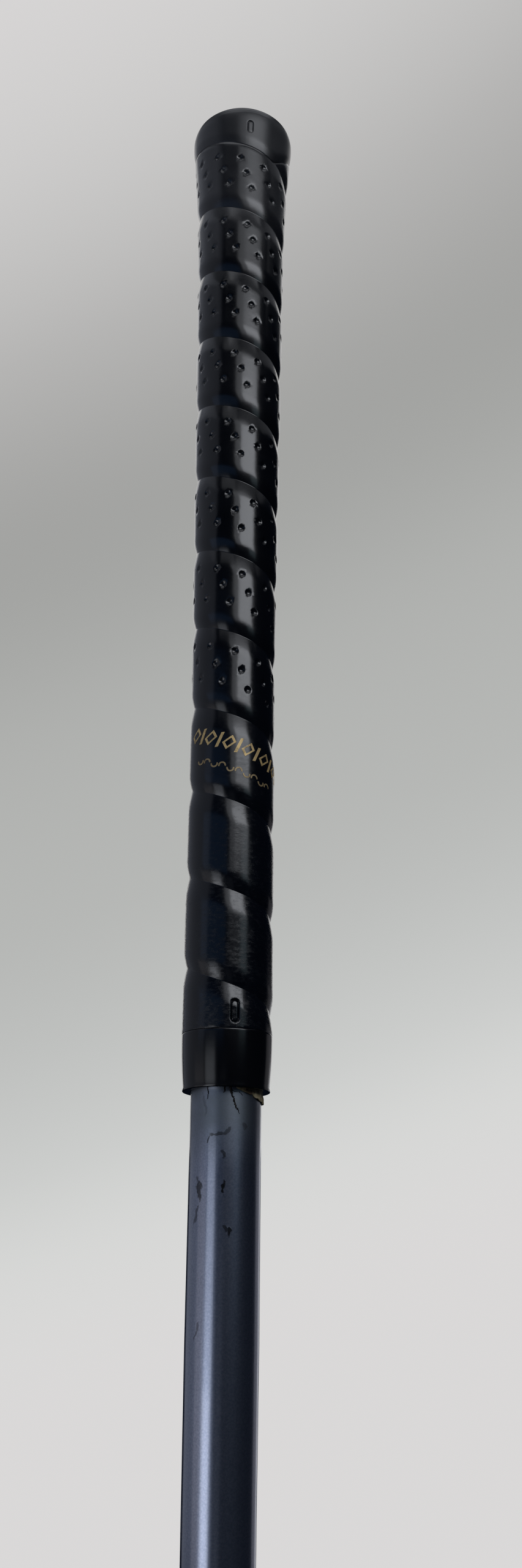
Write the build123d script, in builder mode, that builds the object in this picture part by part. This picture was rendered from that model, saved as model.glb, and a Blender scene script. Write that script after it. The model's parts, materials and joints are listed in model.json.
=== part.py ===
"""Golf grip bonded on the butt of its graphite shaft, modelled at real size in millimetres.

The origin is the centre of the shaft's cut lower end and +Z runs up the shaft to the butt cap.
Angles go counter-clockwise seen from the cap, with 0 on +X, so the front of the grip is at -90.
Heights called "h" are measured up from the grip's mouth.
"""
from build123d import *
from math import atan2, cos, degrees, radians, sin
import os

# Driving dimensions ---------------------------------------------------------
MOUTH_Z = 105.0  # length of shaft that shows below the grip
GRIP_LENGTH = 266.7  # 10.5 inches, mouth to butt

SHAFT_BUTT_R = 7.62  # 0.600 inch butt
SHAFT_END_R = 7.25  # outside radius at the cut end
SHAFT_TAPER_TOP = 55.0  # the shaft is parallel above this height
SHAFT_BORE_R = 6.35
SHAFT_BUTT_H = 260.0  # the butt stops inside the cap

TAPE_THICKNESS = 0.15
TAPE_GAP = 0.8  # the wrapped edges of the tape don't quite meet
TAPE_GAP_ANGLE = 100.0
TAPE_END_H = -0.3  # mean height of the slanted lower end
TAPE_END_SLANT = 2.2  # the end runs this far below and above the mean
TAPE_END_LOW_ANGLE = 10.0

LOWER_HAND_R = 9.92
TAPER_START_H = 95.0
TAPER_RATE = 0.0128  # radius gained per millimetre
FLARE_START_H = 215.0
FLARE_LENGTH = 47.0
FLARE_GAIN = 1.6

CAP_R = 13.66
CAP_EDGE_R = 3.0
CAP_CROWN = 0.5
CAP_RING_R = 8.6
CAP_RING_WIDTH = 0.8
CAP_RING_DEPTH = 0.35
VENT_R = 1.6

SEAM_MEAN_H = 255.6  # the cap's lower edge is a slanted ring
SEAM_SLANT = 5.0
SEAM_LOW_ANGLE = -50.0

WRAP_PITCH = 20.95
WRAP_TOP_H = 252.4  # height of the valley at the front, at turn angle 0
WRAP_FIRST_TURN = 32.0  # turn angles where the valley starts and ends
WRAP_LAST_TURN = 4085.0
VALLEY_DEPTH = 0.55
VALLEY_UPPER_WIDTH = 2.4
VALLEY_LOWER_WIDTH = 3.4

COLLAR_TOP_H = 12.2
COLLAR_MOUTH_R = 9.35
COLLAR_LIP_R = 0.7

CAP_SLOT = (4.0, 1.4, 0.45)  # length, width, depth
CAP_SLOT_PLACE = (258.2, -79.3)  # height, angle
MOUTH_SLOT = (5.2, 2.07, 0.6)
MOUTH_SLOT_PLACE = (15.9, -80.6)

GOLD_DEPTH = 0.2
GOLD_PROUD = 0.05
GOLD_TURN = 8  # the decorated band lies between this turn of the valley and the next
LOZENGE_DROP = 7.4  # below the valley that tops the band
LOZENGE_HEIGHT = 3.5
LOZENGE_WIDTH = 3.3
LOZENGE_STROKE = 0.62
LOZENGE_LEAN = 0.8
LOZENGE_ANGLES = [-146.0 + 26.0 * step for step in range(7)]
BAR_ANGLES = [-133.0 + 26.0 * step for step in range(6)]
BAR_WIDTH = 0.75
WAVE_DROP = 13.6
WAVE_RISE = 0.75
WAVE_CHORD = 1.5
WAVE_STROKE = 0.36
WAVE_FIRST_ANGLE = -136.0
WAVE_STEP = 11.0
WAVE_COUNT = 10

# Values that follow from them -----------------------------------------------
SLEEVE_BORE_R = SHAFT_BUTT_R + TAPE_THICKNESS
CAP_BOTTOM_H = FLARE_START_H + FLARE_LENGTH  # where the flare reaches the cap's full width
FRONT_ANGLE = -90.0
GOLD_INNER_R = LOWER_HAND_R - GOLD_DEPTH
GOLD_OUTER_R = LOWER_HAND_R + GOLD_PROUD


def body_radius(h):
    """Outside radius of the sleeve above the collar: parallel, then tapered, then flared."""
    taper = TAPER_RATE * max(0.0, h - TAPER_START_H)
    flare = FLARE_GAIN * max(0.0, (h - FLARE_START_H) / FLARE_LENGTH) ** 2
    return LOWER_HAND_R + taper + flare


def valley_h(turn_angle):
    """Height of the bottom of the wrap's valley after so many degrees of turn."""
    return WRAP_TOP_H - WRAP_PITCH * turn_angle / 360


def surface_plane(radius, h, angle):
    """Plane that touches the grip at a place: local Z points out and local Y points up."""
    out = Vector(cos(radians(angle)), sin(radians(angle)), 0)
    along = Vector(-out.Y, out.X, 0)
    return Plane(origin=out * radius + Vector(0, 0, MOUTH_Z + h), x_dir=along, z_dir=out)


def slanted_plane(mean_h, slant, low_angle, radius):
    """Plane across the grip that is lowest, by the slant, at one angle of the given radius."""
    slope = slant / radius
    normal = Vector(slope * cos(radians(low_angle)), slope * sin(radians(low_angle)), 1)
    return Plane(origin=(0, 0, MOUTH_Z + mean_h), z_dir=normal)


def rubber_outline(bottom_h):
    """Half section of the sleeve and cap together, from a height up to the butt."""
    top = MOUTH_Z + GRIP_LENGTH
    flare_hs = [FLARE_START_H + FLARE_LENGTH * step / 5 for step in range(6)]
    foot = Line((SLEEVE_BORE_R, MOUTH_Z + bottom_h), (LOWER_HAND_R, MOUTH_Z + bottom_h))
    lower = Line(foot @ 1, (LOWER_HAND_R, MOUTH_Z + TAPER_START_H))
    taper = Line(lower @ 1, (body_radius(FLARE_START_H), MOUTH_Z + FLARE_START_H))
    flare = Spline([(body_radius(h), MOUTH_Z + h) for h in flare_hs])
    side = Line(flare @ 1, (CAP_R, top - CAP_CROWN - CAP_EDGE_R))
    edge = RadiusArc(side @ 1, (CAP_R - CAP_EDGE_R, top - CAP_CROWN), -CAP_EDGE_R)
    crown = ThreePointArc(edge @ 1, ((CAP_R - CAP_EDGE_R) / 2, top - CAP_CROWN / 4), (0, top))
    Polyline(crown @ 1, (0, MOUTH_Z + SHAFT_BUTT_H + TAPE_THICKNESS),
             (SLEEVE_BORE_R, MOUTH_Z + SHAFT_BUTT_H + TAPE_THICKNESS), foot @ 0)


def cut_valley(first_turn, last_turn):
    """Cut one stretch of the wrap's valley, along a helix that follows the taper."""
    low_h, high_h = valley_h(last_turn), valley_h(first_turn)
    low_r, high_r = body_radius(low_h), body_radius(high_h)
    start_angle = radians(FRONT_ANGLE + last_turn)
    start = Plane(origin=(0, 0, MOUTH_Z + low_h), x_dir=(cos(start_angle), sin(start_angle), 0),
                  z_dir=(0, 0, 1))
    with BuildLine(start) as valley_line:
        Helix(WRAP_PITCH, high_h - low_h, low_r, lefthand=True,
              cone_angle=degrees(atan2(high_r - low_r, high_h - low_h)))
    foot = valley_line.line @ 0
    section = Plane(origin=foot, x_dir=(foot.X, foot.Y, 0), z_dir=valley_line.line % 0)
    reach = 0.75
    grow = (VALLEY_DEPTH + reach) / VALLEY_DEPTH
    with BuildSketch(section) as valley_section:
        Polygon((-VALLEY_DEPTH, 0), (reach, -VALLEY_LOWER_WIDTH * grow),
                (reach, VALLEY_UPPER_WIDTH * grow), align=None)
    sweep(valley_section.sketch, path=valley_line.line, is_frenet=True, mode=Mode.SUBTRACT)


def cut_slot(size, place, radius):
    """Cut a round-ended slot, upright, into the outside of the grip."""
    length, width, depth = size
    h, angle = place
    with BuildSketch(surface_plane(radius, h, angle)) as slot:
        SlotOverall(length, width, rotation=90)
    extrude(slot.sketch, amount=-depth, mode=Mode.SUBTRACT)


def band_plane(angle, drop):
    """Plane on the decorated band, so far below the valley that tops it."""
    turn_angle = GOLD_TURN * 360 + angle - FRONT_ANGLE
    return surface_plane(GOLD_INNER_R, valley_h(turn_angle) - drop, angle)


def keep_gold_shell():
    """Trim the motif's prisms to the thin shell that the gold paint fills."""
    with BuildSketch(Plane.XY.offset(MOUTH_Z + 50)) as shell:
        Circle(GOLD_OUTER_R)
        Circle(GOLD_INNER_R, mode=Mode.SUBTRACT)
    extrude(shell.sketch, amount=50, mode=Mode.INTERSECT)


# Shaft: a graphite tube, cut square at the bottom ---------------------------
with BuildPart() as shaft_tube:
    with BuildSketch(Plane.XZ):
        Polygon((SHAFT_BORE_R, 0), (SHAFT_END_R, 0), (SHAFT_BUTT_R, SHAFT_TAPER_TOP),
                (SHAFT_BUTT_R, MOUTH_Z + SHAFT_BUTT_H), (SHAFT_BORE_R, MOUTH_Z + SHAFT_BUTT_H),
                align=None)
    revolve(axis=Axis.Z)

# Tape: one lengthwise wrap, folded over the butt, with a slanted lower end --
with BuildPart() as grip_tape:
    tape_foot = MOUTH_Z - 4
    tape_top = MOUTH_Z + SHAFT_BUTT_H
    with BuildSketch(Plane.XZ):
        Polygon((SHAFT_BUTT_R, tape_foot), (SLEEVE_BORE_R, tape_foot),
                (SLEEVE_BORE_R, tape_top + TAPE_THICKNESS),
                (SHAFT_BORE_R, tape_top + TAPE_THICKNESS), (SHAFT_BORE_R, tape_top),
                (SHAFT_BUTT_R, tape_top), align=None)
    revolve(axis=Axis.Z)
    split(bisect_by=slanted_plane(TAPE_END_H, TAPE_END_SLANT, TAPE_END_LOW_ANGLE, SHAFT_BUTT_R),
          keep=Keep.TOP)
    with BuildSketch(surface_plane(0, -10, TAPE_GAP_ANGLE)):
        Rectangle(TAPE_GAP, GRIP_LENGTH + 10, align=(Align.CENTER, Align.MIN))
    extrude(amount=SLEEVE_BORE_R + 1, mode=Mode.SUBTRACT)

# Gold motif, upper row: open leaning lozenges with slim bars between them ---
with BuildPart() as gold_lozenges:
    half_w, half_h = LOZENGE_WIDTH / 2, LOZENGE_HEIGHT / 2
    inner = 1 - 2 * LOZENGE_STROKE / LOZENGE_WIDTH
    lozenge = [(LOZENGE_LEAN, half_h), (-half_w, 0), (-LOZENGE_LEAN, -half_h), (half_w, 0)]
    for angle in LOZENGE_ANGLES:
        with BuildSketch(band_plane(angle, LOZENGE_DROP)):
            Polygon(*lozenge, align=None)
            Polygon(*[(x * inner, y * inner) for x, y in lozenge], align=None, mode=Mode.SUBTRACT)
        extrude(amount=1)
    bar = [(LOZENGE_LEAN + BAR_WIDTH / 2, half_h), (LOZENGE_LEAN - BAR_WIDTH / 2, half_h),
           (-LOZENGE_LEAN - BAR_WIDTH / 2, -half_h), (-LOZENGE_LEAN + BAR_WIDTH / 2, -half_h)]
    for angle in BAR_ANGLES:
        with BuildSketch(band_plane(angle, LOZENGE_DROP)):
            Polygon(*bar, align=None)
        extrude(amount=1)
    keep_gold_shell()

# Gold motif, lower row: a fine wave of round-ended arcs, up and down by turns
with BuildPart() as gold_wave:
    for step in range(WAVE_COUNT):
        rise = WAVE_RISE if step % 2 else -WAVE_RISE
        with BuildSketch(band_plane(WAVE_FIRST_ANGLE + WAVE_STEP * step, WAVE_DROP)):
            with BuildLine(mode=Mode.PRIVATE) as wave_line:
                ThreePointArc((-WAVE_CHORD / 2, 0), (0, rise), (WAVE_CHORD / 2, 0))
            SlotArc(wave_line.edge(), WAVE_STROKE)
        extrude(amount=1)
    keep_gold_shell()

# Sleeve: the wrapped body between the collar and the cap --------------------
seam_plane = slanted_plane(SEAM_MEAN_H, SEAM_SLANT, SEAM_LOW_ANGLE, CAP_R - 0.4)
with BuildPart() as grip_sleeve:
    with BuildSketch(Plane.XZ):
        with BuildLine():
            rubber_outline(COLLAR_TOP_H)
        make_face()
    revolve(axis=Axis.Z)
    split(bisect_by=seam_plane, keep=Keep.BOTTOM)
    turn = WRAP_FIRST_TURN
    while turn < WRAP_LAST_TURN:
        next_turn = min(turn + 360, WRAP_LAST_TURN)
        cut_valley(turn, next_turn + 2)
        turn = next_turn
    cut_slot(MOUTH_SLOT, MOUTH_SLOT_PLACE, LOWER_HAND_R)
    add(gold_lozenges.part, mode=Mode.SUBTRACT)
    add(gold_wave.part, mode=Mode.SUBTRACT)

# End cap: harder rubber, with its vent, a ring on the butt and an index slot
with BuildPart() as end_cap:
    with BuildSketch(Plane.XZ):
        with BuildLine():
            rubber_outline(CAP_BOTTOM_H - FLARE_LENGTH)
        make_face()
    revolve(axis=Axis.Z)
    split(bisect_by=seam_plane, keep=Keep.TOP)
    with BuildSketch(Plane.XY.offset(MOUTH_Z + SHAFT_BUTT_H)):
        Circle(VENT_R)
    extrude(amount=10, mode=Mode.SUBTRACT)
    with BuildSketch(Plane.XY.offset(MOUTH_Z + GRIP_LENGTH)):
        Circle(CAP_RING_R + CAP_RING_WIDTH / 2)
        Circle(CAP_RING_R - CAP_RING_WIDTH / 2, mode=Mode.SUBTRACT)
    extrude(amount=-(CAP_CROWN + CAP_RING_DEPTH), mode=Mode.SUBTRACT)
    cut_slot(CAP_SLOT, CAP_SLOT_PLACE, body_radius(CAP_SLOT_PLACE[0]))

# Collar: smooth ring that closes the wrap, with a rounded lip at the mouth --
with BuildPart() as mouth_collar:
    with BuildSketch(Plane.XZ):
        with BuildLine():
            crown_h = COLLAR_TOP_H / 2
            crown_r = COLLAR_MOUTH_R + 0.78 * (LOWER_HAND_R - COLLAR_MOUTH_R)
            barrel = ThreePointArc((LOWER_HAND_R, MOUTH_Z + COLLAR_TOP_H), (crown_r, MOUTH_Z + crown_h),
                                   (COLLAR_MOUTH_R, MOUTH_Z + COLLAR_LIP_R))
            lip = RadiusArc(barrel @ 1, (COLLAR_MOUTH_R - COLLAR_LIP_R, MOUTH_Z), COLLAR_LIP_R)
            Polyline(lip @ 1, (SLEEVE_BORE_R, MOUTH_Z), (SLEEVE_BORE_R, MOUTH_Z + COLLAR_TOP_H),
                     barrel @ 0)
        make_face()
    revolve(axis=Axis.Z)

os.makedirs("parts", exist_ok=True)
pieces = {
    "shaft_tube": shaft_tube,
    "grip_tape": grip_tape,
    "grip_sleeve": grip_sleeve,
    "gold_lozenges": gold_lozenges,
    "gold_wave": gold_wave,
    "end_cap": end_cap,
    "mouth_collar": mouth_collar,
}
for name, piece in pieces.items():
    piece.part.label = name
    export_step(piece.part, f"parts/{name}.step")
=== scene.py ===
"""Looks of the golf grip on its shaft: rubber skins, tape, paint, studio. Metres, in the CAD frame.

Mesh code works in millimetres: "h" is the height above the grip's mouth, "turn" the angle in degrees
from the front, counter-clockwise seen from the cap. The wrap's strip is laid out flat as (turn, h)
first, so that its valley is an edge of the mesh, and is then wound onto the grip.
"""
import json
import math

import bmesh
import bpy
import numpy as np
from mathutils import Euler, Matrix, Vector


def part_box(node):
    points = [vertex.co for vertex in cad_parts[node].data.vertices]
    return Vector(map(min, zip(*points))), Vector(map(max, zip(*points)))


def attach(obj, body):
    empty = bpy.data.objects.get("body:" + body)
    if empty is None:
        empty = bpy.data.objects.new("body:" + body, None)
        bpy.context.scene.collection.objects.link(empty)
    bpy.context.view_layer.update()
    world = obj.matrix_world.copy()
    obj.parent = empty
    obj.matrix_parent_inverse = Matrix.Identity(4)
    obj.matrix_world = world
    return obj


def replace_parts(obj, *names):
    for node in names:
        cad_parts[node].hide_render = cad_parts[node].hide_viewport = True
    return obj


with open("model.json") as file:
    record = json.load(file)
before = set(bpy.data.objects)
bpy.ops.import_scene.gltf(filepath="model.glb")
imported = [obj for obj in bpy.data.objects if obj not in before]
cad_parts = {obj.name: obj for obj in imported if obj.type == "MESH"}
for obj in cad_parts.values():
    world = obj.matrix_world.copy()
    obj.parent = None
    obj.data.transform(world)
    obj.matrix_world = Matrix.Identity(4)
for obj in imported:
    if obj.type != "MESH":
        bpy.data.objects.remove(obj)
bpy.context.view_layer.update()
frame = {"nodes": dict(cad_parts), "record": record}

MM = 0.001
FRONT = -90.0  # the front of the grip faces -Y
TURN = 360.0

# Sizes that the frame gives, in millimetres ---------------------------------
MOUTH_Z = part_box("mouth_collar")[0].z / MM
COLLAR_TOP_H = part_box("mouth_collar")[1].z / MM - MOUTH_Z
BUTT_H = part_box("end_cap")[1].z / MM - MOUTH_Z
CAP_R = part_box("end_cap")[1].x / MM
SHAFT_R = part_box("shaft_tube")[1].x / MM
TAPE_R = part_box("grip_tape")[1].x / MM
TAPE_TOP_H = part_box("grip_tape")[1].z / MM - MOUTH_Z
BORE_R = frame["record"]["mounts"][0]["dims"]["r_mm"]

# The sleeve's outline -------------------------------------------------------
HAND_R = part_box("mouth_collar")[1].x / MM
TAPER_START, TAPER_RATE = 95.0, 0.0128
FLARE_START, FLARE_LENGTH, FLARE_GAIN = 215.0, 47.0, 1.6
SMALLEST_R = 9.5  # just under every body radius, so that reaches in degrees come out wide enough
COLLAR_NARROWING = 0.62  # the collar's radius shrinks this much from its top to the mouth

# The wrap -------------------------------------------------------------------
PITCH = 20.95
VALLEY_TOP_H = 252.4  # the valley's height at turn 0
VALLEY_DEPTH = 0.72
VALLEY_END_TURN = 4100.0  # where it runs out at the collar
COLUMN = 4.0  # degrees
BORE_TOP_H = 248.0  # the bore runs straight up to here, just below the cap's seam

DIMPLE_R, DIMPLE_DEPTH = 0.87, 0.37
DIMPLE_DROPS = (4.9, 9.2, 13.5)
DIMPLE_LEAN = 1.65  # each dimple of a row sits this far round from the one above
DIMPLE_SPACING = 6.2
DIMPLE_FRONT_TURNS = (4.6, 15.9, 15.5, 2.6, -4.5, -2.2, 18.6, 10.7)  # a row of each band
DIMPLE_FIRST_TURN, DIMPLE_LAST_TURN = -310.0, 2700.0

# The cap --------------------------------------------------------------------
EDGE_R, CROWN = 3.0, 0.5
EDGE_RIBS, EDGE_RIB_HEIGHT = (28.0, 52.0), 0.05
VENT_R, VENT_DEPTH = 1.6, 6.2
RING_R, RING_WIDTH, RING_DEPTH = 8.6, 0.8, 0.35
CAP_PROUD = 0.04
FLANK_BOTTOM_H = 249.0  # the flank's first row, below the lowest place of the seam
SEAM_BACK_H = 258.0
SEAM_CLIMB_TURN, SEAM_CLIMB_H, SEAM_CLIMB_RATE = 45.0, 250.0, 0.173

# The tape's lower end, a slanted plane, and strings of glue as (turn, h) paths with a width --
TAPE_END_H, TAPE_END_SLANT, TAPE_LOW_TURN = 0.35, 2.9, 100.0
GLUE_STRINGS = [
    ([(6.0, 0.6), (7.5, -0.6), (10.5, -1.7), (12.5, -2.6), (16.0, -4.0), (18.5, -4.6)], 0.95),
    ([(15.5, -4.0), (19.0, -4.2), (22.0, -5.4)], 0.5),
    ([(7.5, -0.4), (14.0, -0.9), (21.0, -0.7), (27.0, -1.5)], 0.6),
    ([(-31.0, 0.3), (-29.5, -1.2), (-30.5, -2.3)], 0.4),
    ([(-3.0, 0.3), (-2.0, -0.6), (-3.5, -1.1)], 0.7),
]

# Slots: height, turn, length, width, depth ----------------------------------
CAP_SLOT = (258.2, 8.6, 4.0, 1.7, 0.24)
MOUTH_SLOT = (15.9, 9.4, 5.2, 2.07, 0.6)
MOUTH_SLOT_BAND = 11  # whole turns of the strip before the band that holds the slot


# Shape functions, on numpy arrays -------------------------------------------
def smooth(x):
    x = np.clip(x, 0, 1)
    return x * x * (3 - 2 * x)


def body_radius(h):
    """Parallel, then tapered, then flared up to the cap."""
    taper = TAPER_RATE * np.maximum(0, h - TAPER_START)
    flare = FLARE_GAIN * np.maximum(0, (h - FLARE_START) / FLARE_LENGTH) ** 2
    return np.minimum(HAND_R + taper + flare, CAP_R)


def valley_h(turn):
    return VALLEY_TOP_H - PITCH * turn / TURN


def near_front(turn):
    """The same angle between -180 and 180."""
    return (turn + TURN / 2) % TURN - TURN / 2


def seam_h(turn):
    """The cap's lower edge: along the wrap in front, then a climb to level round the back."""
    t = near_front(turn)
    along_wrap = valley_h(t)
    climb = SEAM_CLIMB_H + SEAM_CLIMB_RATE * (t - SEAM_CLIMB_TURN)
    soft = 0.5
    low = soft * np.logaddexp(along_wrap / soft, climb / soft)
    return -soft * np.logaddexp(-low / soft, -SEAM_BACK_H / soft)


def valley_cut(turn, h):
    """How far the wrap's valley cuts in: long and straight below its line, shorter and rounder above."""
    down = (valley_h(turn) - h) % PITCH
    below = np.clip(1 - down / 4.6, 0, 1) ** 1.25
    above = np.clip(1 - (PITCH - down) / 3.7, 0, 1) ** 1.6
    return VALLEY_DEPTH * np.maximum(below, above)


def valley_strength(turn, h):
    """The valley grows out of the cap's seam and fades into the collar."""
    nearest_turn = TURN * np.round((valley_h(turn) - h) / PITCH) + turn
    grow = smooth((nearest_turn - 12) / 65)
    fade = smooth((VALLEY_END_TURN - nearest_turn) / 60)
    return grow * fade


def slot_cut(turn, h, radius, slot):
    """A round-ended slot: a groove round the edge and a flat floor."""
    place_h, place_turn, length, width, depth = slot
    x = np.radians(near_front(turn - place_turn)) * radius
    y = h - place_h
    straight = (length - width) / 2
    edge = np.hypot(x, y - np.clip(y, -straight, straight)) - width / 2
    groove = np.clip(1 - np.abs(edge + 0.2) / 0.3, 0, 1)
    return depth * (0.6 * smooth(-edge / 0.2) + 0.4 * groove)


def dimple_rows():
    """Turns of the rows of three: even steps along the strip from each band's front row to the next."""
    fronts = [TURN * band + turn for band, turn in enumerate(DIMPLE_FRONT_TURNS)]
    ends = [DIMPLE_FIRST_TURN] + fronts + [DIMPLE_LAST_TURN]
    rows = []
    for start, end in zip(ends, ends[1:]):
        radius = float(body_radius(valley_h((start + end) / 2) - DIMPLE_DROPS[1]))
        count = round(math.radians(end - start) * radius / DIMPLE_SPACING)
        rows += list(np.linspace(start, end, count, endpoint=False))
    return rows


def dimple_places():
    """(turn, h) of every dimple that lies clear of the cap's seam."""
    places = []
    for row in dimple_rows():
        lean = math.degrees(DIMPLE_LEAN / float(body_radius(valley_h(row) - DIMPLE_DROPS[1])))
        for number, drop in enumerate(DIMPLE_DROPS):
            turn = row + lean * (number - 1)
            h = float(valley_h(turn)) - drop
            if h < float(seam_h(turn)) - 2.2:
                places.append((turn, h))
    return places


def dimple_cut(turn, h, radius, places):
    """Bowl-shaped dimples."""
    cut = np.zeros(len(turn))
    order = np.argsort(turn)
    sorted_turn = turn[order]
    for place_turn, place_h in places:
        reach = math.degrees(DIMPLE_R / SMALLEST_R)
        first, last = np.searchsorted(sorted_turn, (place_turn - reach, place_turn + reach))
        some = order[first:last]
        x = np.radians(turn[some] - place_turn) * radius[some]
        away = np.hypot(x, h[some] - place_h) / DIMPLE_R
        bowl = DIMPLE_DEPTH * np.clip(1 - away ** 2, 0, 1) ** 0.9
        cut[some] = np.maximum(cut[some], bowl)
    return cut


# Mesh helpers ---------------------------------------------------------------
def flat_grid(columns, rows_of):
    """A bmesh of (turn, h) with one column per turn; rows_of gives a column's heights."""
    heights = np.array([rows_of(turn) for turn in columns])
    count, rows = heights.shape
    points = np.zeros((count * rows, 3))
    points[:, 0] = np.repeat(columns, rows)
    points[:, 1] = heights.ravel()
    corner = (np.arange(count - 1)[:, None] * rows + np.arange(rows - 1)).ravel()
    faces = np.stack([corner, corner + 1, corner + rows + 1, corner + rows], 1)
    mesh = bpy.data.meshes.new("flat")
    mesh.from_pydata(points.tolist(), [], faces.tolist())
    bm = bmesh.new()
    bm.from_mesh(mesh)
    bpy.data.meshes.remove(mesh)
    return bm


def refine(bm, wanted, cuts):
    """Divide the faces whose centres are wanted."""
    faces = list(bm.faces)
    centres = np.array([f.calc_center_median()[:2] for f in faces])
    chosen = [faces[i] for i in np.flatnonzero(wanted(centres[:, 0], centres[:, 1]))]
    edges = {edge for face in chosen for edge in face.edges}
    bmesh.ops.subdivide_edges(bm, edges=list(edges), cuts=cuts, use_grid_fill=True)


def near_places(places, radius_mm):
    """A test of faces: within some millimetres of any of the places."""
    spots = np.array(sorted(places))

    def wanted(turn, h):
        found = np.zeros(len(turn), bool)
        reach = math.degrees((radius_mm + 0.4) / SMALLEST_R)
        order = np.argsort(turn)
        for place_turn, place_h in spots:
            ends = np.searchsorted(turn[order], (place_turn - reach, place_turn + reach))
            some = order[ends[0]:ends[1]]
            x = np.radians(turn[some] - place_turn) * body_radius(h[some])
            found[some] |= np.hypot(x, h[some] - place_h) < radius_mm
        return found
    return wanted


def cut_along(bm, level, offset=0.0):
    """Add edges along the curve where h = level(turn) + offset."""
    gap = {}
    for vert in bm.verts:
        gap[vert] = vert.co.y - float(level_at(level, vert.co.x)) - offset
    made = []
    for edge in list(bm.edges):
        a, b = edge.verts
        if gap[a] * gap[b] < 0:
            share = gap[a] / (gap[a] - gap[b])
            _, vert = bmesh.utils.edge_split(edge, a, share)
            made.append(vert)
    bmesh.ops.connect_verts(bm, verts=made)


def level_at(level, turn):
    return level(turn) if callable(level) else level


def drop_beyond(bm, level, above):
    """Delete what lies above, or below, the curve h = level(turn)."""
    sign = 1 if above else -1
    gone = [v for v in bm.verts if sign * (v.co.y - float(level_at(level, v.co.x))) > 1e-4]
    bmesh.ops.delete(bm, geom=gone, context="VERTS")


def flat_arrays(bm):
    co = np.array([v.co for v in bm.verts])
    return co[:, 0], co[:, 1]


def wind(bm, turn, h, radius):
    """Move the flat layout's points onto the grip and join its columns where they meet."""
    angle = np.radians(turn + FRONT)
    points = np.stack([radius * np.cos(angle), radius * np.sin(angle), h + MOUTH_Z], 1) * MM
    for vert, point in zip(bm.verts, points):
        vert.co = point
    bmesh.ops.remove_doubles(bm, verts=bm.verts, dist=0.004 * MM)


def boundary_loops(bm):
    """The open edges, sorted into a low and a high ring."""
    edges = [e for e in bm.edges if e.is_boundary]
    heights = [e.verts[0].co.z for e in edges]
    middle = (min(heights) + max(heights)) / 2
    low = [e for e, z in zip(edges, heights) if z < middle]
    high = [e for e, z in zip(edges, heights) if z >= middle]
    return low, high


def ring_inward(bm, edges, radius, level_h=None):
    """Extrude a ring of edges radially to the given radius; returns the new ring's edges."""
    made = bmesh.ops.extrude_edge_only(bm, edges=edges)["geom"]
    for vert in (g for g in made if isinstance(g, bmesh.types.BMVert)):
        flat = Vector((vert.co.x, vert.co.y))
        flat = flat.normalized() * radius * MM
        vert.co.x, vert.co.y = flat
        if level_h is not None:
            vert.co.z = (level_h + MOUTH_Z) * MM
    return [g for g in made if isinstance(g, bmesh.types.BMEdge)]


def angle_of(vert):
    return math.atan2(vert.co.y, vert.co.x)


def ring_in_order(edges):
    """A ring's vertices, counter-clockwise about the axis from the one of smallest angle."""
    beside = {}
    for edge in edges:
        for vert in edge.verts:
            beside.setdefault(vert, []).append(edge.other_vert(vert))
    start = min(beside, key=angle_of)
    ahead = min(beside[start], key=lambda vert: (angle_of(vert) - angle_of(start)) % (2 * math.pi))
    ordered = [start, ahead]
    while len(ordered) < len(beside):
        first, second = beside[ordered[-1]]
        ordered.append(second if first is ordered[-2] else first)
    return ordered


def zip_rings(bm, low, high):
    """Join two rings of edges with triangles, matched by angle so that the wall doesn't twist."""
    low, high = ring_in_order(low), ring_in_order(high)

    def angle_at(ring, step):
        laps, place = divmod(step, len(ring))
        return angle_of(ring[place]) + 2 * math.pi * laps

    i = j = 0
    while i < len(low) or j < len(high):
        a, b = low[i % len(low)], high[j % len(high)]
        if j == len(high) or (i < len(low) and angle_at(low, i + 1) <= angle_at(high, j + 1)):
            i += 1
            bm.faces.new((a, low[i % len(low)], b))
        else:
            j += 1
            bm.faces.new((a, high[j % len(high)], b))


def finish_mesh(bm, name, material, sharp_degrees=35):
    """Turn a bmesh into a smooth-shaded object that rides on the one body."""
    bmesh.ops.recalc_face_normals(bm, faces=bm.faces)
    mesh = bpy.data.meshes.new(name)
    bm.to_mesh(mesh)
    bm.free()
    for polygon in mesh.polygons:
        polygon.use_smooth = True
    mesh.set_sharp_from_angle(angle=math.radians(sharp_degrees))
    mesh.materials.append(material)
    piece = bpy.data.objects.new(name, mesh)
    bpy.context.scene.collection.objects.link(piece)
    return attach(piece, "root")


def revolve(profile, columns):
    """A closed bmesh from a closed half section [(r, h), ...] turned about the grip's axis."""
    bm = bmesh.new()
    angles = [2 * math.pi * i / columns for i in range(columns)]
    rings = []
    for r, h in profile:
        z = (h + MOUTH_Z) * MM
        rings.append([bm.verts.new((r * MM * math.cos(a), r * MM * math.sin(a), z)) for a in angles])
    for ring, after in zip(rings, rings[1:] + rings[:1]):
        for i in range(columns):
            j = (i + 1) % columns
            bm.faces.new((ring[i], ring[j], after[j], after[i]))
    return bm


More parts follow.
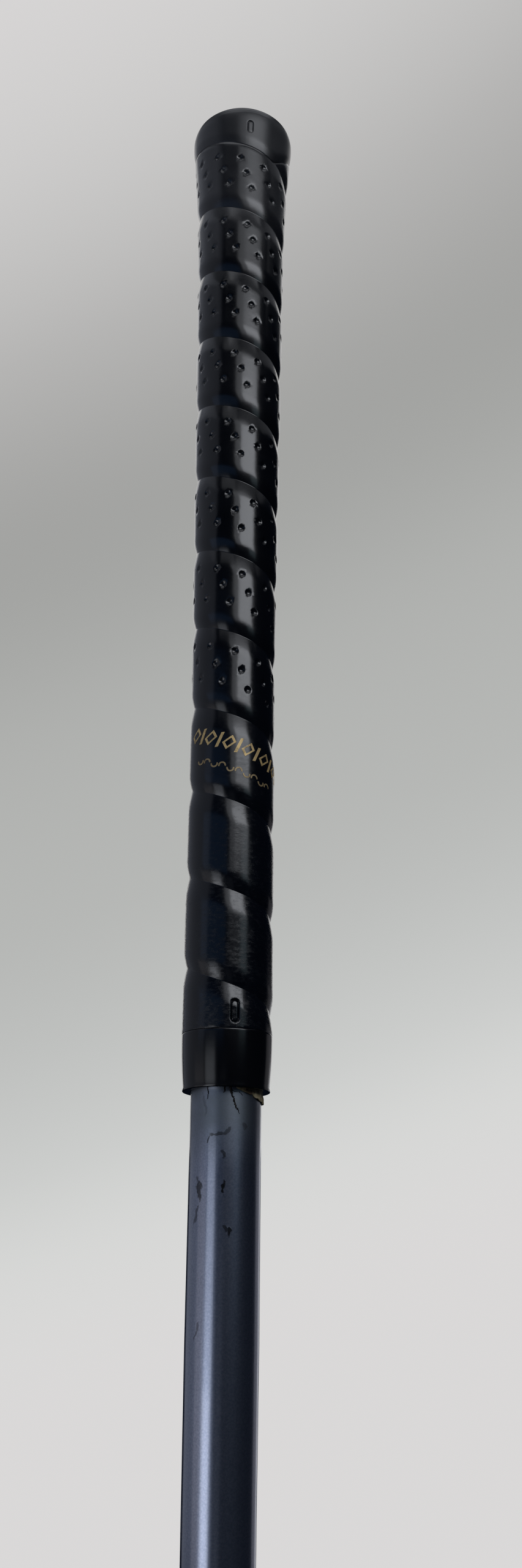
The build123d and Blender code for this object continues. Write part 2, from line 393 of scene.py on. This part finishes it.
# Pieces ---------------------------------------------------------------------
def make_sleeve(material):
    """The wrapped rubber sleeve with its valley, dimples and mouth slot."""
    near = [0, 0.1, 0.3, 0.65, 1.1, 1.7, 2.4]
    middle = list(np.linspace(3.1, PITCH - 2.9, 18))
    drops = near + middle + [PITCH - d for d in reversed(near)]
    columns = np.arange(-TURN, valley_turns() * TURN + COLUMN / 2, COLUMN)
    bm = flat_grid(columns, lambda turn: valley_h(turn) - np.array(drops))
    places = dimple_places()
    refine(bm, near_places(places, DIMPLE_R + 0.25), 3)
    slot_turn = MOUTH_SLOT[1] + TURN * MOUTH_SLOT_BAND
    slot_places = [(slot_turn, MOUTH_SLOT[0] + y) for y in (-1.8, -0.9, 0, 0.9, 1.8)]
    refine(bm, near_places(slot_places, 1.9), 4)
    trim_ends(bm)
    turn, h = flat_arrays(bm)
    full = body_radius(h)
    radius = full - valley_cut(turn, h) * valley_strength(turn, h)
    radius -= dimple_cut(turn, h, full, places)
    radius -= slot_cut(turn, h, full, MOUTH_SLOT)
    radius -= edge_round(seam_h(turn) - h, 1.1, 0.24)
    radius -= edge_round(h - COLLAR_TOP_H, 0.16, 0.07)
    wind(bm, turn, h, radius)
    low, high = boundary_loops(bm)
    low, high = ring_inward(bm, low, TAPE_R), ring_inward(bm, high, TAPE_R)
    low = ring_inward(bm, low, TAPE_R, BORE_TOP_H)
    zip_rings(bm, low, high)
    return finish_mesh(bm, "sleeve_rubber", material)


def valley_turns():
    """Whole turns from the front of the cap's seam to below the collar's top."""
    return math.ceil((VALLEY_TOP_H - COLLAR_TOP_H) / PITCH)


def trim_ends(bm):
    """Cut the strip off along the cap's seam and the collar's top, with fine rows beside them."""
    for offset in (-1.1, -0.7, -0.4, -0.15, 0.0):
        cut_along(bm, seam_h, offset)
    for offset in (0.16, 0.07, 0.0):
        cut_along(bm, COLLAR_TOP_H, offset)
    drop_beyond(bm, seam_h, above=True)
    drop_beyond(bm, COLLAR_TOP_H, above=False)


def edge_round(distance, width, depth):
    """Roll an edge inward over a short width."""
    return depth * np.clip(1 - distance / width, 0, 1) ** 2


def make_cap(material):
    """The butt cap: flank beside the seam, slot, rounded edge, crowned top with ring and vent."""
    top_h = BUTT_H - CROWN
    side_top = top_h - EDGE_R
    side = list(np.linspace(FLANK_BOTTOM_H, side_top, 22))
    arc = [side_top + EDGE_R * math.radians(a) for a in range(3, 91, 3)]
    arc_end = side_top + EDGE_R * math.pi / 2
    flat = arc_end + (CAP_R - EDGE_R - np.array(crown_radii()))
    rows = np.array(side + arc + list(flat))
    bm = flat_grid(np.arange(0, TURN + 1, 3.0), lambda turn: rows)
    slot_places = [(CAP_SLOT[1], CAP_SLOT[0] + y) for y in (-1.4, -0.7, 0, 0.7, 1.4)]
    refine(bm, near_places(slot_places, 1.5), 4)
    for offset in (2.2, 1.5, 0.9, 0.45, 0.2, 0.08, 0.0):
        cut_along(bm, seam_h, offset)
    drop_beyond(bm, seam_h, above=False)
    turn, s = flat_arrays(bm)
    radius, h = cap_profile(s, side_top, arc_end)
    radius -= cap_flank(turn, s) + slot_cut(turn, s, radius, CAP_SLOT)
    wind(bm, turn, h, radius)
    low, high = boundary_loops(bm)
    low = ring_inward(bm, low, TAPE_R)
    low = ring_inward(bm, low, TAPE_R, TAPE_TOP_H)
    high = ring_inward(bm, high, VENT_R, BUTT_H - VENT_DEPTH)
    zip_rings(bm, low, high)
    bmesh.ops.dissolve_degenerate(bm, edges=bm.edges, dist=0.001 * MM)
    return finish_mesh(bm, "cap_rubber", material)


def crown_radii():
    """Radii of the rings that draw the cap's top, from its edge in to the vent."""
    ring = [RING_R + d * RING_WIDTH / 2 for d in (1.15, 1.0, 0.75, 0.4, 0, -0.4, -0.75, -1.0, -1.15)]
    outer, inner = np.linspace(CAP_R - EDGE_R - 0.4, RING_R + 0.7, 4), np.linspace(7.6, 2.4, 9)
    return list(outer) + ring + list(inner) + [2.0, 1.85, 1.72, 1.64, VENT_R]


def cap_profile(s, side_top, arc_end):
    """Radius and height at a distance along the cap's half section."""
    bend = np.clip((s - side_top) / EDGE_R, 0, math.pi / 2)
    across = CAP_R - EDGE_R - np.clip(s - arc_end, 0, None)
    ribs = sum(np.exp(-((np.degrees(bend) - at) / 4.5) ** 2) for at in EDGE_RIBS) * EDGE_RIB_HEIGHT
    rounding = EDGE_R - EDGE_RIB_HEIGHT + ribs
    round_radius = CAP_R - EDGE_R + rounding * np.cos(bend)
    radius = np.where(s < side_top, body_radius(s) + CAP_PROUD * smooth((side_top - s) / 3),
                      np.where(s < arc_end, round_radius, across))
    crown = CROWN * (1 - (np.clip(across, 0, None) / (CAP_R - EDGE_R)) ** 2)
    h = np.where(s < side_top, s, side_top + rounding * np.sin(bend) + np.where(s < arc_end, 0, crown))
    ring = RING_DEPTH * smooth((RING_WIDTH / 2 - np.abs(across - RING_R)) / 0.25 + 0.6)
    vent = 0.35 * np.clip(1 - (across - VENT_R) / 0.4, 0, 1) ** 2
    return radius, h - np.where(s < arc_end, 0, ring + vent)


def cap_flank(turn, s):
    """The cap rolls in towards its seam, most where the valley starts."""
    t = near_front(turn)
    depth = 0.27 + 0.25 * smooth((t + 25) / 70) * smooth((130 - t) / 60)
    distance = s - seam_h(turn)
    return depth * np.clip(1 - distance / 2.8, 0, 1) ** 1.4 + edge_round(distance, 0.2, 0.12)


def make_collar(material):
    """Smooth collar: barrel side, softly rounded top edge and a thin flange at the mouth."""
    side = [(body_collar_r(h), h) for h in np.linspace(1.0, COLLAR_TOP_H - 0.6, 16)]
    top = [(HAND_R, COLLAR_TOP_H - 0.3), (HAND_R - 0.02, COLLAR_TOP_H - 0.08),
           (HAND_R - 0.12, COLLAR_TOP_H)]
    lip_r = body_collar_r(1.0)
    lip = [(TAPE_R, 0.05), (lip_r - 0.75, 0.0), (lip_r - 0.1, 0.0), (lip_r + 0.06, 0.05),
           (lip_r + 0.1, 0.14), (lip_r + 0.1, 0.52), (lip_r - 0.01, 0.53)]
    bm = revolve(lip + side + top + [(TAPE_R, COLLAR_TOP_H)], 120)
    return finish_mesh(bm, "collar_rubber", material, 50)


def body_collar_r(h):
    return HAND_R - COLLAR_NARROWING * (1 - min(h, COLLAR_TOP_H) / COLLAR_TOP_H) ** 2


def make_shaft(material):
    """Painted tube with its bore, cut square at the bottom."""
    taper_h, butt_h = 55.0 - MOUTH_Z, 260.0
    end_r, bevel = 7.25, 0.1
    outer = [(end_r - bevel, -MOUTH_Z), (end_r, -MOUTH_Z + bevel)]
    outer += [(end_r + (SHAFT_R - end_r) * share, -MOUTH_Z + bevel + (taper_h + MOUTH_Z - bevel) * share)
              for share in np.linspace(0.05, 1, 12)]
    outer += [(SHAFT_R, h) for h in np.linspace(taper_h + 4, butt_h - 0.2, 60)]
    outer += [(SHAFT_R - 0.2, butt_h), (BORE_R, butt_h), (BORE_R, -MOUTH_Z)]
    bm = revolve(outer, 144)
    return finish_mesh(bm, "shaft_painted", material, 50)


def make_tape(material):
    """Tape round the shaft, with a gap down the back and a ragged, lifted end below the mouth."""
    gap_turn, gap_half = 190.0, 3.0
    row_aim_h, row_share = 3.0, 0.35  # the rows step by this share of the way from the end to this height
    columns = np.linspace(gap_turn + gap_half - TURN, gap_turn - gap_half, 241)
    shares = np.concatenate([np.linspace(0, 1, 13), [2.0, 6.0]])
    random = np.random.default_rng(4)
    ragged = np.interp(columns, columns[::3], random.normal(0, 0.16, len(columns[::3])))
    end_h = TAPE_END_H - TAPE_END_SLANT * np.cos(np.radians(columns - TAPE_LOW_TURN)) + ragged
    h = end_h[:, None] + (row_aim_h - end_h[:, None]) * shares[None, :] * row_share
    h = np.concatenate([h, np.full((len(columns), 1), TAPE_TOP_H)], 1)
    turn = np.repeat(columns[:, None], h.shape[1], 1)
    loose = smooth((0.1 - h) / 1.6)
    folds = np.sin(np.radians(turn * 13)) * 0.5 + np.sin(np.radians(turn * 29 + h * 90)) * 0.5
    lift = loose * (0.16 + 0.13 * folds + 0.14 * smooth((turn - 55) / 35))
    outer, inner = TAPE_R + lift, SHAFT_R + lift
    return finish_mesh(thin_shell(turn, h, outer, inner), "tape_paper", material, 50)


def thin_shell(turn, h, outer, inner):
    """A closed bmesh between two grids of radii over the same (turn, h)."""
    bm = bmesh.new()
    angle = np.radians(turn + FRONT)
    grids = []
    for radius in (outer, inner):
        points = np.stack([radius * np.cos(angle), radius * np.sin(angle), h + MOUTH_Z], 2) * MM
        grids.append([[bm.verts.new(point) for point in row] for row in points])
    columns, rows = h.shape
    for grid in grids:
        for i in range(columns - 1):
            for j in range(rows - 1):
                bm.faces.new((grid[i][j], grid[i + 1][j], grid[i + 1][j + 1], grid[i][j + 1]))
    rim = [(i, 0) for i in range(columns)] + [(columns - 1, j) for j in range(1, rows)]
    rim += [(i, rows - 1) for i in range(columns - 2, -1, -1)] + [(0, j) for j in range(rows - 2, 0, -1)]
    outside, inside = grids
    for (i, j), (next_i, next_j) in zip(rim, rim[1:] + rim[:1]):
        bm.faces.new((outside[i][j], outside[next_i][next_j], inside[next_i][next_j], inside[i][j]))
    return bm


def make_glue(material):
    """Dried strings of the tape's glue that have run down from the mouth."""
    bm = bmesh.new()
    random = np.random.default_rng(9)
    steps = 26
    for path, width in GLUE_STRINGS:
        turns, heights = zip(*path)
        share = np.linspace(0, 1, steps)
        at = np.linspace(0, 1, len(path))
        turn = np.interp(share, at, turns) + random.normal(0, 0.5, steps)
        h = np.interp(share, at, heights)
        half = width * (0.45 + 0.55 * random.random(steps)) * (1 - 0.6 * share) / 2
        add_ribbon(bm, turn, h, half)
    return finish_mesh(bm, "glue_strings", material, 60)


BEAD = ((-1, -0.02), (-0.6, 0.09), (0.6, 0.09), (1, -0.02))  # share of the half width, lift


def add_ribbon(bm, turn, h, half):
    """A thin raised bead along a path on the shaft."""
    rings = []
    for t, height, w in zip(turn, h, half):
        side = math.degrees(w / SHAFT_R)
        ring = []
        for offset, lift in BEAD:
            a = math.radians(t + FRONT + offset * side)
            r = SHAFT_R + lift
            ring.append(bm.verts.new(Vector((r * math.cos(a), r * math.sin(a), height + MOUTH_Z)) * MM))
        rings.append(ring)
    for ring, after in zip(rings, rings[1:]):
        for i in range(4):
            j = (i + 1) % 4
            bm.faces.new((ring[i], ring[j], after[j], after[i]))
    bm.faces.new(rings[0])
    bm.faces.new(rings[-1])


# Materials ------------------------------------------------------------------
class Nodes:
    """Short ways to add shader nodes to a material."""

    def __init__(self, name):
        self.material = bpy.data.materials.new(name)
        self.material.use_nodes = True
        self.tree = self.material.node_tree
        self.shader = self.tree.nodes["Principled BSDF"]
        self.place = self.tree.nodes.new("ShaderNodeTexCoord").outputs["Object"]

    def add(self, kind, **settings):
        node = self.tree.nodes.new(kind)
        for key, value in settings.items():
            setattr(node, key, value)
        return node

    def link(self, source, target):
        self.tree.links.new(source, target)

    def stretched(self, scale, rotation=(0, 0, 0)):
        """The place, stretched for a pattern."""
        node = self.add("ShaderNodeMapping")
        node.inputs["Scale"].default_value = scale
        node.inputs["Rotation"].default_value = rotation
        self.link(self.place, node.inputs["Vector"])
        return node.outputs["Vector"]

    def noise(self, scale, detail=3.0, roughness=0.5, place=None):
        node = self.add("ShaderNodeTexNoise")
        node.inputs["Scale"].default_value = scale
        node.inputs["Detail"].default_value = detail
        node.inputs["Roughness"].default_value = roughness
        self.link(place or self.place, node.inputs["Vector"])
        return node.outputs["Fac"]

    def ramp(self, source, low, high, out_low=0.0, out_high=1.0, kind="LINEAR"):
        """A map from one range to another, clamped; kind names the way between them."""
        node = self.add("ShaderNodeMapRange", clamp=True, interpolation_type=kind)
        for key, value in (("From Min", low), ("From Max", high),
                           ("To Min", out_low), ("To Max", out_high)):
            node.inputs[key].default_value = value
        self.link(source, node.inputs["Value"])
        return node.outputs["Result"]

    def math(self, operation, first, second):
        node = self.add("ShaderNodeMath", operation=operation)
        for socket, value in zip(node.inputs, (first, second)):
            if isinstance(value, (int, float)):
                socket.default_value = value
            else:
                self.link(value, socket)
        return node.outputs[0]

    def mix(self, share, first, second):
        """A colour between two, by a share."""
        node = self.add("ShaderNodeMix", data_type="RGBA")
        self.link(share, node.inputs["Factor"])
        for socket, value in ((node.inputs[6], first), (node.inputs[7], second)):
            if isinstance(value, tuple):
                socket.default_value = (*value, 1.0)
            else:
                self.link(value, socket)
        return node.outputs[2]

    def height(self):
        """Metres above the frame's origin."""
        node = self.add("ShaderNodeSeparateXYZ")
        self.link(self.place, node.inputs[0])
        return node.outputs["Z"]

    def bump(self, source, strength, distance, under=None):
        node = self.add("ShaderNodeBump")
        node.inputs["Strength"].default_value = strength
        node.inputs["Distance"].default_value = distance
        self.link(source, node.inputs["Height"])
        if under is not None:
            self.link(under, node.inputs["Normal"])
        return node.outputs["Normal"]


def rubber(name, dark, pale, rough_low, rough_high, scuffs_and_painted_reflection=False, ior=1.5):
    """Moulded rubber: uneven black, fine skin grain, dust at the top, and if asked scuffs low down with a
    painted blue reflection in the lower half's colour.
    """
    n = Nodes(name)
    cloud = n.noise(55.0, 4.0, 0.6)
    speck = n.noise(900.0, 2.0, 0.5)
    dust = n.math("MULTIPLY", n.ramp(n.height(), 0.322, 0.338), n.ramp(cloud, 0.25, 0.65, 0.5, 1.0))
    skin = n.mix(n.ramp(cloud, 0.35, 0.7), dark, pale)
    if scuffs_and_painted_reflection:
        # Painted reflection: a dim blue reflection painted into the lower half's colour, in blotches.
        lower_half = n.ramp(n.height(), 0.165, 0.235, 1.0, 0.0)
        painted_blue_reflection = n.math("MULTIPLY", lower_half, n.ramp(cloud, 0.3, 0.7, 0.5, 1.0))
        skin = n.mix(painted_blue_reflection, skin, (0.0014, 0.0026, 0.0056))
    n.link(n.mix(dust, skin, (0.018, 0.0185, 0.021)), n.shader.inputs["Base Color"])
    rough = n.ramp(cloud, 0.3, 0.75, rough_low, rough_high)
    rough = n.math("ADD", rough, n.math("MULTIPLY", dust, 0.04))
    skin_bump = n.bump(speck, 0.10, 0.00006)
    if scuffs_and_painted_reflection:
        streak = n.noise(1.0, 4.0, 0.65, n.stretched((760.0, 760.0, 1700.0)))
        low = n.ramp(n.height(), 0.125, 0.215, 1.0, 0.1)
        scuffs = n.math("MULTIPLY", n.ramp(streak, 0.45, 0.7), n.math("MULTIPLY", low, 0.2))
        rough = n.math("ADD", rough, scuffs)
        skin_bump = n.bump(n.math("MULTIPLY", streak, low), 0.3, 0.00005, skin_bump)
    n.link(rough, n.shader.inputs["Roughness"])
    n.shader.inputs["IOR"].default_value = ior
    n.link(n.bump(cloud, 0.06, 0.0003, skin_bump), n.shader.inputs["Normal"])
    return n.material


def gold_material(name, bright, worn):
    """Gold paint: warm, half metal, a little worn."""
    n = Nodes(name)
    wear = n.noise(700.0, 4.0, 0.7)
    n.link(n.mix(n.ramp(wear, 0.53, 0.72), bright, worn), n.shader.inputs["Base Color"])
    n.shader.inputs["Metallic"].default_value = 0.35
    n.link(n.ramp(wear, 0.3, 0.7, 0.38, 0.6), n.shader.inputs["Roughness"])
    n.link(n.bump(wear, 0.3, 0.00005), n.shader.inputs["Normal"])
    return n.material


def tape_material():
    """Yellowed tape: paper fibres with old glue on them."""
    n = Nodes("tape_paper")
    fibre = n.noise(1.0, 4.0, 0.7, n.stretched((900.0, 900.0, 250.0)))
    stain = n.noise(260.0, 4.0, 0.65)
    paper = n.mix(n.ramp(fibre, 0.3, 0.7), (0.20, 0.155, 0.075), (0.42, 0.36, 0.22))
    n.link(n.mix(n.ramp(stain, 0.48, 0.62), paper, (0.075, 0.045, 0.022)), n.shader.inputs["Base Color"])
    n.shader.inputs["Roughness"].default_value = 0.75
    n.link(n.bump(fibre, 0.6, 0.0002), n.shader.inputs["Normal"])
    return n.material


def shaft_material():
    """Dark blue-grey metallic paint under a clear coat; hazed by old glue near the grip, with marks."""
    n = Nodes("graphite_paint")
    flake = n.noise(2600.0, 2.0, 0.5)
    cloud = n.noise(70.0, 4.0, 0.6)
    base = n.mix(n.ramp(flake, 0.3, 0.7), (0.195, 0.222, 0.300), (0.270, 0.302, 0.395))
    near_grip = n.ramp(n.height(), 0.087, 0.101, 0.04, 1.0, "SMOOTHSTEP")
    haze = n.math("MULTIPLY", near_grip, n.ramp(cloud, 0.3, 0.6, 0.45, 1.0))
    hazed = n.mix(haze, base, (0.150, 0.172, 0.190))
    marks = shaft_marks(n)
    n.link(n.mix(marks, hazed, (0.020, 0.019, 0.018)), n.shader.inputs["Base Color"])
    n.shader.inputs["Metallic"].default_value = 0.94
    n.link(n.ramp(haze, 0.0, 1.0, 0.27, 0.5), n.shader.inputs["Roughness"])
    n.link(n.ramp(n.math("MAXIMUM", haze, marks), 0.0, 1.0, 1.0, 0.1), n.shader.inputs["Coat Weight"])
    n.shader.inputs["Coat Roughness"].default_value = 0.07
    n.link(n.bump(n.math("ADD", cloud, marks), 0.12, 0.0002), n.shader.inputs["Normal"])
    return n.material


# Marks on the shaft: h, angle from +X, half width, half height, lean in degrees, how dark
SHAFT_MARKS = [
    (-9.3, -101.0, 2.2, 0.45, 0, 0.7),
    (-10.4, -117.0, 0.35, 1.0, 14, 0.8),
    (-9.0, -86.0, 0.7, 0.6, -30, 0.6),
    (-13.2, -94.5, 0.4, 1.1, 24, 0.7),
    (-7.8, -58.0, 0.6, 0.9, 20, 0.45),
    (-20.2, -90.5, 0.45, 1.5, 4, 0.95),
    (-28.3, -86.5, 0.45, 1.2, 6, 0.7),
    (-29.3, -80.5, 0.5, 1.3, -10, 0.85),
    (-20.6, -134.0, 0.75, 2.4, -4, 0.8),
    (-25.0, -141.0, 0.5, 2.2, 14, 0.6),
    (-47.3, -131.0, 0.3, 2.0, 24, 0.5),
    (-3.4, -126.0, 0.35, 2.6, -8, 0.3),
]


def shaft_marks(n):
    """A mask of small smears and scratches with broken edges."""
    broken = n.noise(1500.0, 4.0, 0.7)
    wander = n.add("ShaderNodeTexNoise")
    wander.inputs["Scale"].default_value = 330.0
    reach = 0.0035  # metres that the marks' outlines wander, from end to end
    n.link(n.place, wander.inputs["Vector"])
    shift = n.add("ShaderNodeVectorMath", operation="MULTIPLY_ADD")
    n.link(wander.outputs["Color"], shift.inputs[0])
    shift.inputs[1].default_value = (reach, reach, reach)
    n.link(n.place, shift.inputs[2])
    centred = n.add("ShaderNodeVectorMath", operation="SUBTRACT")
    n.link(shift.outputs["Vector"], centred.inputs[0])
    centred.inputs[1].default_value = (reach / 2, reach / 2, reach / 2)
    warped = centred.outputs["Vector"]
    total = None
    for h, angle, half_width, half_height, lean, darkness in SHAFT_MARKS:
        a = math.radians(angle)
        centre = Vector((math.cos(a) * SHAFT_R, math.sin(a) * SHAFT_R, h + MOUTH_Z)) * MM
        node = n.add("ShaderNodeMapping", vector_type="TEXTURE")
        node.inputs["Location"].default_value = centre
        node.inputs["Rotation"].default_value = (0, math.radians(lean), a - math.radians(FRONT))
        node.inputs["Scale"].default_value = (half_width * MM, 3 * MM, half_height * MM)
        n.link(warped, node.inputs["Vector"])
        away = n.add("ShaderNodeVectorMath", operation="LENGTH")
        n.link(node.outputs["Vector"], away.inputs[0])
        near = n.math("SUBTRACT", n.ramp(away.outputs["Value"], 0.3, 1.2, 1.0, 0.0),
                      n.ramp(broken, 0.45, 0.7, 0.0, 0.55))
        mark = n.ramp(near, 0.05, 0.45, 0.0, darkness)
        total = mark if total is None else n.math("MAXIMUM", total, mark)
    return total


def glue_material():
    """Dried glue, dark and dusty."""
    n = Nodes("dried_glue")
    cloud = n.noise(1200.0, 3.0, 0.6)
    n.link(n.mix(n.ramp(cloud, 0.35, 0.65), (0.004, 0.0035, 0.004), (0.022, 0.018, 0.016)),
           n.shader.inputs["Base Color"])
    n.link(n.ramp(cloud, 0.3, 0.7, 0.55, 0.8), n.shader.inputs["Roughness"])
    n.shader.inputs["Specular IOR Level"].default_value = 0.15
    n.link(n.bump(cloud, 0.5, 0.0001), n.shader.inputs["Normal"])
    return n.material


PALE = (0.70, 0.685, 0.685)

# Painted shade on the glowing backdrop: its colour by how far a direction from the frame's origin rises,
# darker in a band across the middle
BACKDROP_PAINTED_SHADE = [
    (0.0, PALE),
    (0.09, (0.685, 0.69, 0.68)),
    (0.16, (0.60, 0.61, 0.60)),
    (0.25, (0.515, 0.525, 0.515)),
    (0.34, (0.462, 0.47, 0.458)),
    (0.48, (0.44, 0.447, 0.435)),
    (0.60, (0.325, 0.328, 0.318)),
    (0.70, (0.46, 0.455, 0.45)),
    (0.78, (0.60, 0.595, 0.59)),
    (0.86, PALE),
]


def backdrop_material():
    """Glowing pale paper with a painted shadow across its middle, told by the direction from the origin.
    """
    n = Nodes("backdrop_glow_painted_shade")
    aim = n.add("ShaderNodeVectorMath", operation="NORMALIZE")
    n.link(n.place, aim.inputs[0])
    parts = n.add("ShaderNodeSeparateXYZ")
    n.link(aim.outputs["Vector"], parts.inputs[0])
    rise = n.math("SUBTRACT", parts.outputs["Z"], n.math("MULTIPLY", parts.outputs["X"], 0.36))
    shade = n.add("ShaderNodeValToRGB")
    ramp = shade.color_ramp
    ramp.interpolation = "B_SPLINE"
    while len(ramp.elements) < len(BACKDROP_PAINTED_SHADE):
        ramp.elements.new(0.5)
    for element, (rise_here, colour) in zip(ramp.elements, BACKDROP_PAINTED_SHADE):
        element.position = rise_here
        element.color = (*colour, 1)
    n.link(rise, shade.inputs["Fac"])
    n.shader.inputs["Base Color"].default_value = (0.02, 0.02, 0.02, 1)
    n.shader.inputs["Roughness"].default_value = 1.0
    n.shader.inputs["Specular IOR Level"].default_value = 0.0
    n.link(shade.outputs["Color"], n.shader.inputs["Emission Color"])
    n.shader.inputs["Emission Strength"].default_value = 1.0
    return n.material


# Studio ---------------------------------------------------------------------
FLOOR_Z = -1.1
ROOM_R, ROOM_BEND, ROOM_TOP = 3.4, 1.2, 4.2


def make_backdrop():
    """Pale floor that sweeps up into a round wall and a closed top, glowing with a painted shadow band,
    seen by the camera alone.
    """
    profile = [(0.0, FLOOR_Z), (ROOM_R - ROOM_BEND, FLOOR_Z)]
    profile += [(ROOM_R - ROOM_BEND + ROOM_BEND * math.sin(math.radians(a)),
                 FLOOR_Z + ROOM_BEND * (1 - math.cos(math.radians(a)))) for a in range(6, 91, 6)]
    profile += [(ROOM_R * math.cos(math.radians(a)), ROOM_TOP + ROOM_R * math.sin(math.radians(a)))
                for a in range(0, 91, 6)]
    bm = bmesh.new()
    columns = 96
    rings = []
    for r, z in profile:
        angles = [2 * math.pi * i / columns for i in range(columns)]
        rings.append([bm.verts.new((r * math.cos(a), r * math.sin(a), z)) for a in angles])
    for ring, after in zip(rings, rings[1:]):
        for i in range(columns):
            j = (i + 1) % columns
            bm.faces.new((ring[i], ring[j], after[j], after[i]))
    bmesh.ops.remove_doubles(bm, verts=bm.verts, dist=1e-5)
    mesh = bpy.data.meshes.new("backdrop")
    bm.to_mesh(mesh)
    bm.free()
    for polygon in mesh.polygons:
        polygon.use_smooth = True
    mesh.materials.append(backdrop_material())
    backdrop = bpy.data.objects.new("backdrop", mesh)
    backdrop.visible_glossy = backdrop.visible_diffuse = backdrop.visible_shadow = False
    bpy.context.scene.collection.objects.link(backdrop)


def outward(azimuth):
    """Level unit vector at an azimuth from the front (-Y) towards +X."""
    a = math.radians(azimuth)
    return Vector((math.sin(a), -math.cos(a), 0))


def soft_light(name, azimuth, height, aim_z, size, radiance, colour, distance=1.3):
    """A rectangular soft light at a height, that faces the grip's axis at aim_z."""
    data = bpy.data.lights.new(name, "AREA")
    data.shape = "RECTANGLE"
    data.size, data.size_y = size
    data.energy = radiance * math.pi * size[0] * size[1]
    data.color = colour
    light = bpy.data.objects.new(name, data)
    light.location = outward(azimuth) * distance + Vector((0, 0, height))
    towards = light.location - Vector((0, 0, aim_z))
    light.rotation_euler = towards.to_track_quat("Z", "Y").to_euler()
    light.visible_camera = False
    bpy.context.scene.collection.objects.link(light)


def make_lights():
    cool = (0.91, 0.94, 1.0)
    soft_light("window_right", 23, 1.03, 0.25, (1.38, 0.86), 1.15, cool)
    soft_light("window_right_bright", 29, 0.95, 0.25, (0.88, 0.54), 3.2, cool)
    soft_light("sky_low", -43, 0.55, 0.2, (1.75, 0.40), 0.22, (0.25, 0.50, 1.0))
    soft_light("window_right_low", 38, 0.47, 0.25, (0.40, 0.28), 0.6, (0.66, 0.90, 1.0))
    soft_light("window_left", -43, -0.01, 0.06, (0.60, 0.52), 1.15, (0.86, 0.91, 1.0))
    soft_light("window_left_low", -48, -0.17, 0.03, (0.62, 0.26), 1.9, (0.90, 0.93, 1.0))
    soft_light("window_side", -74, -0.05, 0.06, (0.7, 0.5), 0.25, (1.0, 0.92, 0.92))
    soft_light("window_front_low", -8, -0.12, 0.06, (0.35, 0.5), 0.08, (0.86, 0.91, 1.0))
    soft_light("wall_left", -103, 0.68, 0.25, (2.6, 2.1), 0.26, (0.80, 0.85, 1.0))
    soft_light("wall_back", 180, 1.18, 0.25, (1.9, 2.0), 0.9, (1.0, 0.99, 0.98), 1.6)
    soft_light("rim_right", 153, -0.02, 0.06, (0.5, 0.7), 0.5, (0.95, 0.96, 1.0), 1.6)
    soft_light("rim_right_soft", 134, -0.02, 0.06, (0.85, 1.0), 0.2, (0.97, 0.94, 1.0), 1.6)
    soft_light("window_top", -20, 1.9, 0.33, (1.1, 0.5), 0.4, cool)
    soft_light("window_top_right", 40, 1.87, 0.33, (1.5, 0.5), 0.22, cool)
    soft_light("wall_right_top", 108, 1.87, 0.33, (1.8, 0.5), 0.2, cool)
    soft_light("ceiling_front", 20, 1.9, 0.3, (1.5, 0.9), 0.9, cool, 0.34)
    soft_light("ceiling_left", -95, 1.9, 1.5, (1.3, 1.5), 0.15, (0.88, 0.92, 1.0), 0.6)


def make_world():
    world = bpy.data.worlds.new("studio")
    world.use_nodes = True
    background = world.node_tree.nodes["Background"]
    background.inputs["Color"].default_value = (0.3, 0.5, 1.0, 1)
    background.inputs["Strength"].default_value = 0.012
    bpy.context.scene.world = world


def make_camera():
    """The view from in front of the shaft, a little below the grip's mouth, tilted up."""
    data = bpy.data.cameras.new("camera")
    data.lens, data.sensor_width, data.sensor_fit = 31.58, 36.0, "AUTO"
    data.clip_start, data.clip_end = 0.01, 20
    camera = bpy.data.objects.new("camera", data)
    camera.location = (0.0, -0.30065, 0.06206)
    camera.rotation_euler = Euler([math.radians(a) for a in (110.790, -0.506, -1.505)], "XYZ")
    bpy.context.scene.collection.objects.link(camera)
    bpy.context.scene.camera = camera


# Build ----------------------------------------------------------------------
sleeve_rubber = rubber("grip_rubber", (0.0016, 0.0020, 0.0034), (0.0034, 0.0038, 0.0052), 0.15, 0.22,
                       scuffs_and_painted_reflection=True)
collar_rubber = rubber("collar_rubber", (0.0016, 0.0019, 0.0030), (0.0030, 0.0033, 0.0046), 0.15, 0.21,
                       ior=1.45)
hard_rubber = rubber("cap_rubber", (0.010, 0.0106, 0.0118), (0.015, 0.0156, 0.017), 0.24, 0.32)

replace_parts(make_sleeve(sleeve_rubber), "grip_sleeve")
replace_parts(make_cap(hard_rubber), "end_cap")
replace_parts(make_collar(collar_rubber), "mouth_collar")
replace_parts(make_shaft(shaft_material()), "shaft_tube")
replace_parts(make_tape(tape_material()), "grip_tape")
make_glue(glue_material())

for node, bright, worn in (("gold_lozenges", (0.60, 0.43, 0.19), (0.20, 0.14, 0.07)),
                           ("gold_wave", (0.30, 0.22, 0.11), (0.08, 0.06, 0.03))):
    materials = frame["nodes"][node].data.materials
    materials.clear()
    materials.append(gold_material(node, bright, worn))

make_backdrop()
make_lights()
make_world()
make_camera()
bpy.context.scene.view_settings.view_transform = "Standard"
